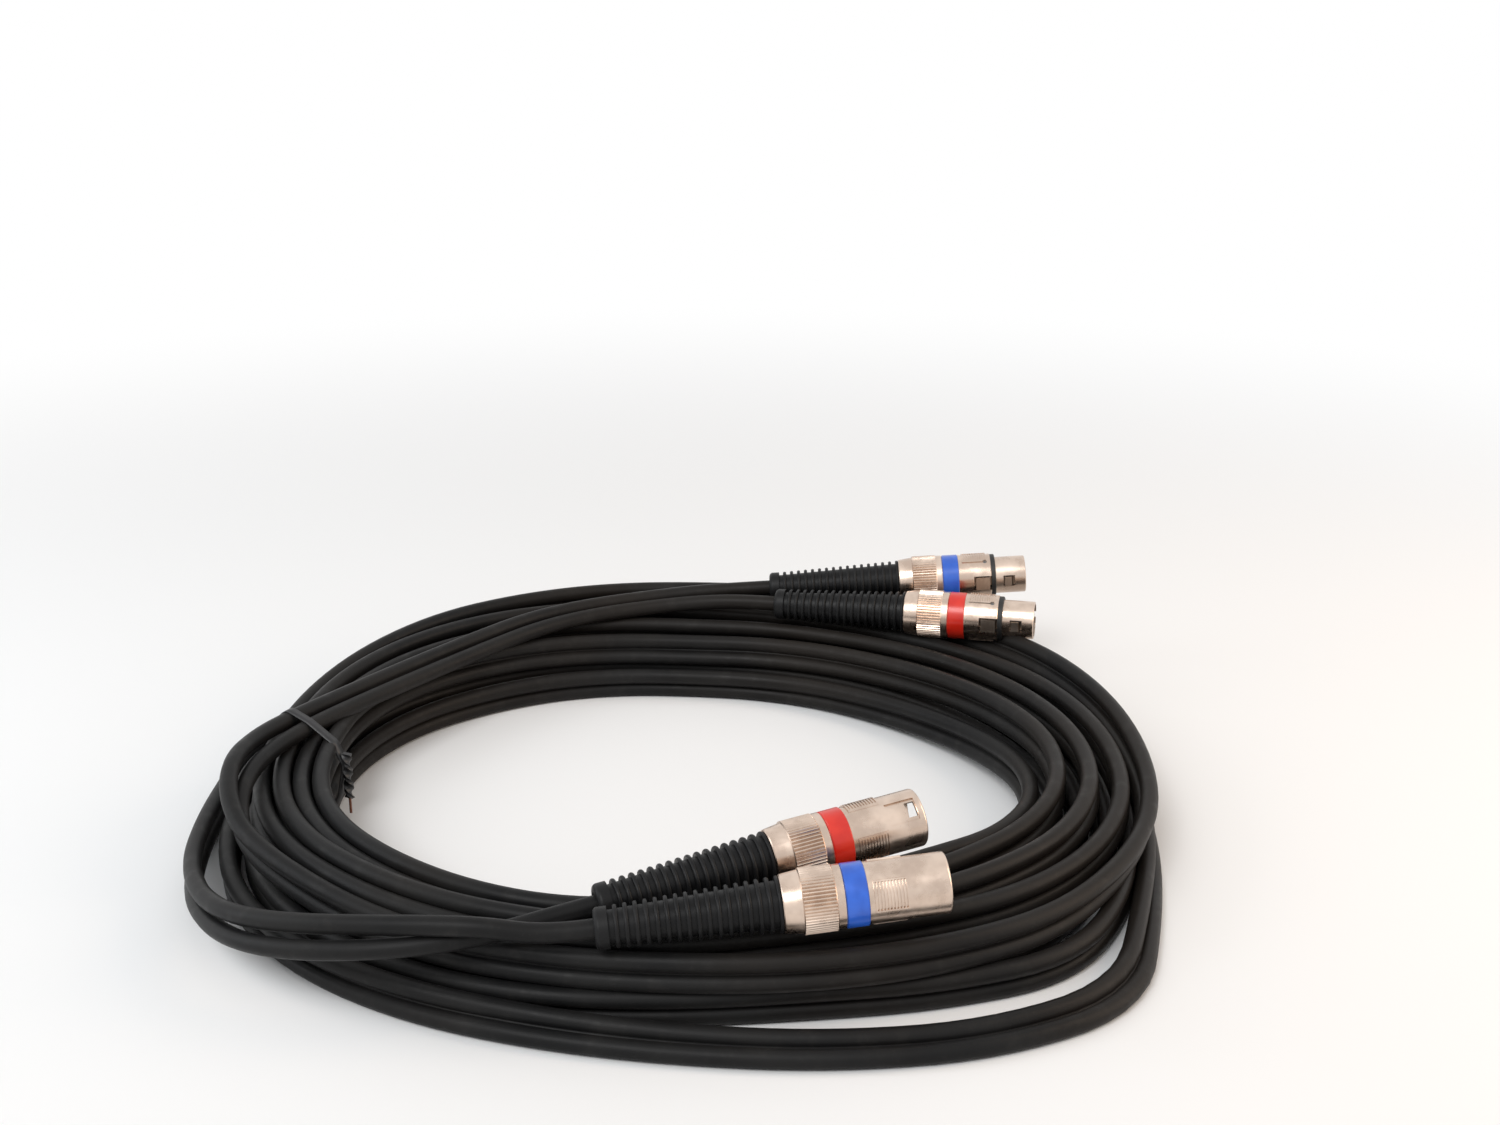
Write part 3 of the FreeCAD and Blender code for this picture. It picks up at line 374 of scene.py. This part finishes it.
def settle(leads):
    """The turns, drawn to where the photograph shows them and pushed apart where they meet."""
    count = round((LAST_TURN - FIRST_TURN) * POINTS_PER_TURN) + 1
    turns = [FIRST_TURN + i / POINTS_PER_TURN for i in range(count)]
    model = np.array([[model_place(t, core) for t in turns] for core in (0, 1)])
    wanted = np.array([[wanted_place(t, core) for t in turns] for core in (0, 1)])
    free = [min(1.0, i / END_POINTS, (count - 1 - i) / END_POINTS) for i in range(count)]
    free = np.array(free)[None, :, None]
    wanted = model + (wanted - model) * free
    furthest = np.array([side_reach(turn_angle(t)) for t in turns])
    # A station is an angle round the coil, counted from +X, half a turn before turn 0. Its
    # group is the points of all turns there
    first = round((0.5 + FIRST_TURN) * POINTS_PER_TURN) % POINTS_PER_TURN
    groups = [np.array([i for i in range(count) if (i + first) % POINTS_PER_TURN == station])
              for station in range(POINTS_PER_TURN)]
    blocks = keep_out(leads)
    place = wanted.copy()
    for step in range(SETTLE_STEPS):
        if step < SETTLE_STEPS - LAST_STEPS:
            off = place - wanted
            off[:, 1:-1] += EVEN_OUT * (off[:, :-2] + off[:, 2:] - 2 * off[:, 1:-1])
            off *= DRAW_BACK
            place = wanted + off
        for group, rows in zip(groups, blocks):
            spots = push_apart(place[:, group].reshape(-1, 2), rows)
            place[:, group] = spots.reshape(2, -1, 2)
        # The two cores stay side by side
        middle = place.mean(axis=0)
        gap = place[1] - place[0]
        gap *= (CORE_STEP / np.hypot(gap[:, 0], gap[:, 1]))[:, None] / 2
        place = np.array((middle - gap, middle + gap))
        # Each stays near its place in the part, and inside the part's box
        off = place - model
        far = np.hypot(off[..., 0], off[..., 1])[..., None]
        allowed = (END_WANDER + WANDER * free) / np.maximum(far, TINY)
        place = model + off * np.minimum(1.0, allowed)
        place[..., 0] = np.minimum(place[..., 0], furthest)
    return turns, place


def coil_points(turns, places):
    """The coil's control points, which lie a little outside the line that they draw."""
    inside = math.cos(math.pi / POINTS_PER_TURN)
    points = []
    for turn, (reach, height) in zip(turns, places):
        angle = turn_angle(turn)
        centre_x = turn_circle(turn)[1]
        radius = (reach - centre_x * math.cos(angle)) / inside
        x = centre_x + radius * math.cos(angle)
        points.append(Vector((x, radius * math.sin(angle), height)) - CENTRE)
    return points


def lead_points(name):
    """From the coil's end to the boot, and the boot's own direction."""
    end, way = PLACES[name]
    end = Vector(end)
    ahead = Vector(way).normalized()
    points = [Vector(p) for p in ROUTES[name]] + [end - ahead * LAST_RUN, end]
    return [p - CENTRE for p in points]


def make_line(name, points):
    """A spline from its first to its last control point, without thickness until it is round."""
    curve = bpy.data.curves.new(name, "CURVE")
    curve.dimensions = "3D"
    curve.resolution_u = LINE_STEPS
    spline = curve.splines.new("NURBS")
    spline.points.add(len(points) - 1)
    for spot, point in zip(spline.points, points):
        spot.co = (*point, 1.0)
        spot.radius = CORE_D / 2
    spline.order_u = 3
    spline.use_endpoint_u = True
    line = bpy.data.objects.new(name, curve)
    bpy.context.collection.objects.link(line)
    return line


def line_samples(line):
    """Points along a line without its thickness."""
    mesh = bpy.data.meshes.new_from_object(line)
    points = [v.co.copy() for v in mesh.vertices]
    bpy.data.meshes.remove(mesh)
    return points


def run_length(points):
    return sum((b - a).length for a, b in zip(points, points[1:]))


def make_cords():
    """Both cores, each one spline from its plug's boot round the coil to its socket's boot."""
    leads = []
    for name in ROUTES:
        line = make_line(name, lead_points(name))
        leads.append([p + CENTRE for p in line_samples(line)])
        bpy.data.objects.remove(line)
    turns, places = settle(leads)
    cords = {}
    for core, colour in enumerate(("red", "blue")):
        coil = coil_points(turns, places[core])
        male_lead = lead_points(colour + "_male")
        female_lead = lead_points(colour + "_female")
        points = male_lead[::-1] + coil[::-1] + female_lead
        line = make_line(colour + "_cable", points)
        cords[colour] = Cord(line, points, line_samples(line))
        # The spline's points hold the core's radius, so the bevel is 1
        line.data.bevel_depth = 1.0
        line.data.bevel_resolution = ROUND_STEPS
        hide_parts(colour + "_coil", colour + "_female_lead", colour + "_male_lead")
        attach(line, BODY)
    return cords


def place_mesh(bm, name):
    """A smoothly shaded object from a bmesh, which is then freed."""
    for face in bm.faces:
        face.smooth = True
    data = bpy.data.meshes.new(name)
    bm.to_mesh(data)
    bm.free()
    piece = bpy.data.objects.new(name, data)
    bpy.context.collection.objects.link(piece)
    return piece


def add_piece(bm, name, slot, looks):
    """A piece that rides on the cable's body, in a slot's finish."""
    piece = place_mesh(bm, name)
    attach(piece, BODY)
    piece.data.materials.append(looks[slot])
    return piece


class Signal:
    """A socket that can be added, multiplied and so on, each of which adds a Math node."""

    def __init__(self, tree, socket):
        self.tree = tree
        self.socket = socket

    def maths(self, operation, other):
        return self.tree.node("ShaderNodeMath", {"operation": operation}, [self, other])

    def __add__(self, other):
        return self.maths("ADD", other)

    __radd__ = __add__

    def __sub__(self, other):
        return self.maths("SUBTRACT", other)

    def __mul__(self, other):
        return self.maths("MULTIPLY", other)

    def ramp(self, low, high):
        """0 under low and 1 over high, with a soft change between."""
        settings = {"interpolation_type": "SMOOTHSTEP"}
        inputs = {"Value": self, "From Min": low, "From Max": high}
        return self.tree.node("ShaderNodeMapRange", settings, inputs)


class Tree:
    """The nodes of a material or of the world."""

    def __init__(self, owner):
        owner.use_nodes = True
        self.nodes = owner.node_tree.nodes
        self.links = owner.node_tree.links

    def node(self, kind, settings=None, inputs=(), output=0):
        """A new node, its settings, and values or signals for its inputs, as its output."""
        made = self.nodes.new(kind)
        for key, value in (settings or {}).items():
            setattr(made, key, value)
        pairs = inputs.items() if isinstance(inputs, dict) else enumerate(inputs)
        for key, value in pairs:
            self.feed(made.inputs[key], value)
        return Signal(self, made.outputs[output])

    def feed(self, socket, value):
        if isinstance(value, Signal):
            self.links.new(value.socket, socket)
        else:
            socket.default_value = value

    def seen(self):
        """1 for what the camera or a reflection sees, and 0 for the light that is sent on."""
        camera = self.node("ShaderNodeLightPath", output="Is Camera Ray")
        reflection = self.node("ShaderNodeLightPath", output="Is Glossy Ray")
        return camera.maths("MAXIMUM", reflection)

    def blend(self, factor, first, second, end):
        """From one shader to another by a factor, up to the tree's end node."""
        mixed = self.node("ShaderNodeMixShader", None, [factor, first, second])
        self.feed(self.nodes[end].inputs[0], mixed)


class Look(Tree):
    """A material, whose finish varies over the piece's own coordinates in metres."""

    def __init__(self, name, **constants):
        self.material = bpy.data.materials.new(name)
        super().__init__(self.material)
        self.shader = self.nodes["Principled BSDF"]
        for key, value in constants.items():
            self.feed(self.shader.inputs[key.replace("_", " ")], value)
        self.place = self.node("ShaderNodeTexCoord", output="Object")

    def noise(self, scale, detail=2.0, roughness=0.5):
        inputs = {
            "Vector": self.place, "Scale": scale, "Detail": detail, "Roughness": roughness}
        return self.node("ShaderNodeTexNoise", None, inputs)

    def mix(self, factor, first, second):
        """A colour between two colours, by the Mix node's own colour sockets."""
        inputs = {0: factor, 6: first, 7: second}
        return self.node("ShaderNodeMix", {"data_type": "RGBA"}, inputs, output=2)

    def bump(self, height, strength, distance):
        inputs = {"Height": height, "Strength": strength, "Distance": distance}
        return self.node("ShaderNodeBump", None, inputs)

    def finish(self, tone, roughness, normal=None):
        self.feed(self.shader.inputs["Base Color"], tone)
        self.feed(self.shader.inputs["Roughness"], roughness)
        if normal:
            self.feed(self.shader.inputs["Normal"], normal)
        return self.material


def paint(red, green, blue):
    return (red, green, blue, 1.0)


def make_jacket():
    """Soft black jacket: slightly mottled, with handling marks, dust and patches of painted warm
    reflection.
    """
    black, grey = paint(0.0075, 0.0076, 0.0080), paint(0.0145, 0.0143, 0.0142)
    # The brown here is a painted warm reflection of the lamps, not a colour of the jacket; the
    # dusty grey is real dust
    painted_reflection_brown, dusty = paint(0.0210, 0.0150, 0.0105), paint(0.050, 0.047, 0.043)
    look = Look("jacket", Specular_IOR_Level=0.13)
    cloud = look.noise(scale=28.0, detail=3.0).ramp(0.3, 0.7)
    dust = look.noise(scale=900.0, detail=4.0, roughness=0.7).ramp(0.58, 0.8)
    rub = look.noise(scale=140.0, detail=3.0, roughness=0.6).ramp(0.5, 0.75)
    # Random patches where the brown painted warm reflection is mixed into the jacket's colour
    painted_reflection_patches = look.noise(scale=9.0).ramp(0.42, 0.68)
    tone = look.mix(cloud, black, grey)
    tone = look.mix(painted_reflection_patches * 0.4, tone, painted_reflection_brown)
    tone = look.mix(dust * 0.22 + rub * 0.12, tone, dusty)
    rough = 0.42 + cloud * 0.10 - rub * 0.08 + dust * 0.08
    grain = look.noise(scale=2600.0)
    return look.finish(tone, rough, look.bump(grain, strength=0.25, distance=0.0002))


def make_boot_rubber():
    """Moulded rubber with a little dust."""
    black, grey = paint(0.005, 0.005, 0.0055), paint(0.010, 0.010, 0.0105)
    dusty = paint(0.06, 0.058, 0.054)
    look = Look("boot_rubber", Specular_IOR_Level=0.18)
    cloud = look.noise(scale=60.0, detail=3.0).ramp(0.3, 0.7)
    dust = look.noise(scale=1200.0, detail=4.0, roughness=0.7).ramp(0.6, 0.85)
    tone = look.mix(cloud, black, grey)
    tone = look.mix(dust * 0.25, tone, dusty)
    rough = 0.38 + cloud * 0.12 + dust * 0.1
    grain = look.noise(scale=1800.0)
    return look.finish(tone, rough, look.bump(grain, strength=0.2, distance=0.0002))


def make_nickel(name, deep, light, roughness):
    """Satin nickel plating with fine grain, faint smears and dark specks."""
    speck = paint(0.22, 0.19, 0.17)
    look = Look(name, Metallic=1.0)
    smear = look.noise(scale=90.0, detail=3.0, roughness=0.6).ramp(0.35, 0.7)
    grain = look.noise(scale=3500.0, detail=3.0, roughness=0.6)
    specks = look.noise(scale=1500.0).ramp(0.72, 0.8)
    tone = look.mix(smear, deep, light)
    tone = look.mix(specks * 0.4, tone, speck)
    rough = roughness + smear * 0.09 + grain * 0.05
    return look.finish(tone, rough, look.bump(grain, strength=0.12, distance=0.0001))


def make_gloss(name, deep, light):
    """Moulded coloured plastic with a soft shine."""
    look = Look(name, Specular_IOR_Level=0.5, Coat_Weight=0.25, Coat_Roughness=0.15)
    cloud = look.noise(scale=160.0).ramp(0.3, 0.7)
    tone = look.mix(cloud, deep, light)
    rough = 0.28 + cloud * 0.08
    grain = look.noise(scale=2200.0)
    return look.finish(tone, rough, look.bump(grain, strength=0.1, distance=0.0001))


def make_plain(name, deep, light, roughness, metallic=0.0, scale=400.0):
    """A plain finish with fine variation, for small and inner pieces."""
    look = Look(name, Metallic=metallic)
    cloud = look.noise(scale, detail=3.0).ramp(0.3, 0.7)
    tone = look.mix(cloud, deep, light)
    rough = roughness + cloud * 0.08
    grain = look.noise(scale * 8)
    return look.finish(tone, rough, look.bump(grain, strength=0.15, distance=0.0001))


def make_looks():
    """A finish for each material slot of the part."""
    return {
        "jacket": make_jacket(),
        "boot_rubber": make_boot_rubber(),
        "nickel": make_nickel(
            "nickel", paint(0.56, 0.44, 0.36), paint(0.74, 0.60, 0.50), 0.22),
        "latch_metal": make_nickel(
            "latch_metal", paint(0.50, 0.41, 0.34), paint(0.64, 0.54, 0.46), 0.28),
        "red_ring": make_gloss(
            "red_ring", paint(0.60, 0.016, 0.007), paint(0.68, 0.026, 0.010)),
        "blue_ring": make_gloss(
            "blue_ring", paint(0.014, 0.095, 0.52), paint(0.024, 0.130, 0.64)),
        "seal_rubber": make_plain(
            "seal_rubber", paint(0.006, 0.006, 0.006), paint(0.012, 0.012, 0.012), 0.5),
        "insulator": make_plain(
            "insulator", paint(0.010, 0.010, 0.011), paint(0.018, 0.018, 0.019), 0.42),
        "clamp_plastic": make_plain(
            "clamp_plastic", paint(0.60, 0.59, 0.56), paint(0.70, 0.69, 0.66), 0.4),
        "contact": make_plain(
            "contact", paint(0.72, 0.67, 0.58), paint(0.84, 0.80, 0.72), 0.22, metallic=1.0),
        "steel": make_plain(
            "steel", paint(0.26, 0.25, 0.24), paint(0.40, 0.39, 0.38), 0.3, metallic=1.0),
        "wire_insulation": make_plain(
            "wire_insulation", paint(0.70, 0.69, 0.66), paint(0.80, 0.79, 0.76), 0.35),
        "tie": make_plain(
            "tie", paint(0.008, 0.008, 0.009), paint(0.020, 0.020, 0.022), 0.42, scale=220.0),
        "tie_core": make_plain(
            "tie_core", paint(0.16, 0.06, 0.035), paint(0.26, 0.10, 0.055), 0.45, metallic=0.4),
    }


def dress(cords, looks):
    """The cores get the jacket's finish, and every node of the part that of its own slot."""
    slots = {s["node"]: s["material_slot"] for s in frame["record"]["subparts"]}
    for name, node in frame["nodes"].items():
        node.data.materials.clear()
        node.data.materials.append(looks[slots[name]])
    for cord in cords.values():
        cord.line.data.materials.append(looks["jacket"])


def coil_samples(cords, colour):
    """A core's samples along the coil, without the leads."""
    cord = cords[colour]
    first_point = cord.points[len(lead_points(colour + "_male"))]
    last_point = cord.points[-len(lead_points(colour + "_female")) - 1]
    first, last = [
        min(range(len(cord.samples)), key=lambda i: (cord.samples[i] - point).length)
        for point in (first_point, last_point)]
    return cord.samples[first:last + 1]


def web_section(red, blue, ahead):
    """The four corners of the web between the cores' middles, which reach into both cores."""
    between = (blue - red).normalized()
    out = ahead.cross(between).normalized() * WEB_THICKNESS / 2
    low = red + between * (CORE_D / 2 - WEB_OVERLAP)
    high = blue - between * (CORE_D / 2 - WEB_OVERLAP)
    return low - out, low + out, high + out, high - out


def make_web(cords, looks):
    """The web that joins the cores: a grid rolled up to a long flat tube between them."""
    red = coil_samples(cords, "red")
    blue = coil_samples(cords, "blue")
    steps = min(len(red), len(blue)) - 1
    sections = [
        web_section(red[i], blue[i], red[min(i + 1, steps)] - red[max(i - 1, 0)])
        for i in range(steps + 1)]
    bm = bmesh.new()
    bmesh.ops.create_grid(bm, x_segments=steps, y_segments=WEB_SIDES, size=1.0)
    for vert in bm.verts:
        step = round((vert.co.x + 1) / 2 * steps)
        corner = round((vert.co.y + 1) / 2 * WEB_SIDES) % WEB_SIDES
        vert.co = sections[step][corner]
    bmesh.ops.remove_doubles(bm, verts=bm.verts[:], dist=WEB_MERGE)
    bmesh.ops.holes_fill(bm, edges=[edge for edge in bm.edges if edge.is_boundary])
    bmesh.ops.recalc_face_normals(bm, faces=bm.faces)
    add_piece(bm, "jacket_web", "jacket", looks)


def tie_axes():
    """The tie's centre, the way along its plane and the way across it."""
    angle = math.pi - TIE_SLANT
    out = Vector((math.cos(angle), math.sin(angle), 0.0))
    along = Vector((-math.sin(angle), math.cos(angle), 0.0))
    return TIE_CENTRE - CENTRE, out, along


def bundle_points(cords):
    """Where the cores pass through the tie, in the tie's own plane."""
    centre, out, along = tie_axes()
    found = []
    for cord in cords.values():
        for p in cord.samples:
            off = p - centre
            if abs(off.dot(along)) < TIE_WIDTH and abs(off.dot(out)) < TIE_REACH:
                found.append((off.dot(out), off.z))
    return found


def band_point(bundle, angle):
    """The point of the bundle's tight outline whose outward way is at this angle."""
    across = math.cos(angle)
    up = math.sin(angle)
    core = max(bundle, key=lambda p: p[0] * across + p[1] * up)
    radius = CORE_D / 2 + TIE_THICKNESS
    return core[0] + across * radius, max(core[1] + up * radius, TIE_THICKNESS)


def put_in_order(bm):
    """Edges and faces in the order of their corners, so that each run gives the same mesh."""
    bm.verts.index_update()
    for rows in (bm.edges, bm.faces):
        ranked = sorted(rows, key=lambda row: sorted(v.index for v in row.verts))
        for index, row in enumerate(ranked):
            row.index = index
        rows.sort()


def make_tie(cords, looks):
    """A band pulled tight round the bundle, out to the twist of its ends."""
    centre, out, along = tie_axes()
    bundle = bundle_points(cords) + [TIE_KNOT]
    bm = bmesh.new()
    ring = bmesh.ops.create_circle(bm, segments=TIE_STEPS, radius=1.0)["verts"]
    for vert in ring:
        across, up = band_point(bundle, math.atan2(vert.co.y, vert.co.x))
        vert.co = centre + out * across + Vector((0, 0, up)) - along * (TIE_WIDTH / 2)
    bmesh.ops.remove_doubles(bm, verts=bm.verts[:], dist=TIE_MERGE)
    edges = list(bm.edges)
    for half in range(2):
        made = bmesh.ops.extrude_edge_only(bm, edges=edges)["geom"]
        verts = [v for v in made if isinstance(v, bmesh.types.BMVert)]
        bmesh.ops.translate(bm, verts=verts, vec=along * (TIE_WIDTH / 2))
        edges = [e for e in made if isinstance(e, bmesh.types.BMEdge) and e.is_boundary]
    put_in_order(bm)
    bmesh.ops.recalc_face_normals(bm, faces=bm.faces)
    bmesh.ops.solidify(bm, geom=bm.faces[:], thickness=TIE_THICKNESS)
    put_in_order(bm)
    bmesh.ops.recalc_face_normals(bm, faces=bm.faces)
    band = add_piece(bm, "tie_band", "tie", looks)
    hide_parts("tie_strap")


def make_floor():
    """A pale floor that takes the shadow, and fades to plain white away from the part."""
    bm = bmesh.new()
    bmesh.ops.create_grid(bm, x_segments=1, y_segments=1, size=FLOOR_REACH)
    floor = place_mesh(bm, "floor")
    pale, paler = paint(0.882, 0.888, 0.892), paint(0.892, 0.898, 0.902)
    look = Look("floor_white", Specular_IOR_Level=0.1)
    look.finish(look.mix(look.noise(scale=3.0), pale, paler), roughness=0.7)
    away = look.node("ShaderNodeVectorMath", {"operation": "LENGTH"}, [look.place], "Value")
    white = look.node("ShaderNodeEmission", None, {"Color": WHITE, "Strength": 1.0})
    own = Signal(look, look.shader.outputs[0])
    look.blend(away.ramp(*FLOOR_FADE) * look.seen(), own, white, "Material Output")
    floor.data.materials.append(look.material)


def make_world():
    """Even light all round, and plain white where the camera or a reflection sees it."""
    world = bpy.data.worlds.new("studio")
    tree = Tree(world)
    lit = tree.nodes["Background"]
    tree.feed(lit.inputs["Color"], WHITE)
    tree.feed(lit.inputs["Strength"], WORLD_LIGHT)
    white = tree.node("ShaderNodeBackground", None, {"Color": WHITE, "Strength": 1.0})
    tree.blend(tree.seen(), Signal(tree, lit.outputs[0]), white, "World Output")
    bpy.context.scene.world = world


def add_light(name, kind, energy, colour):
    """A light of a kind, still without place, size and direction."""
    data = bpy.data.lights.new(name, kind)
    data.energy = energy
    data.color = colour
    light = bpy.data.objects.new(name, data)
    bpy.context.collection.objects.link(light)
    return light


def make_light():
    """The world, the sun and the lamps, shown without any tone curve."""
    bpy.context.scene.view_settings.view_transform = "Standard"
    make_world()
    sun = add_light("sun", "SUN", SUN_LIGHT, SUN_COLOUR)
    sun.data.angle = SUN_WIDTH
    sun.rotation_euler = SUN_TURN
    for name, (place, target, size, power, colour) in LAMPS.items():
        lamp = add_light(name, "AREA", power, colour)
        lamp.data.shape = "RECTANGLE"
        lamp.data.size, lamp.data.size_y = size
        lamp.location = place
        ahead = Vector(target) - Vector(place)
        lamp.rotation_euler = ahead.to_track_quat("-Z", "Y").to_euler()


def declare_cords(cords):
    """Gathers each core's socket connector pieces and measures the core's length, without keeping
    or declaring either.
    """
    for colour, cord in cords.items():
        pieces = [frame["nodes"][colour + "_female_" + piece] for piece in FEMALE_PIECES]
        run_length(cord.samples)


make_camera()
cords = make_cords()
looks = make_looks()
dress(cords, looks)
make_web(cords, looks)
make_tie(cords, looks)
make_floor()
make_light()
declare_cords(cords)
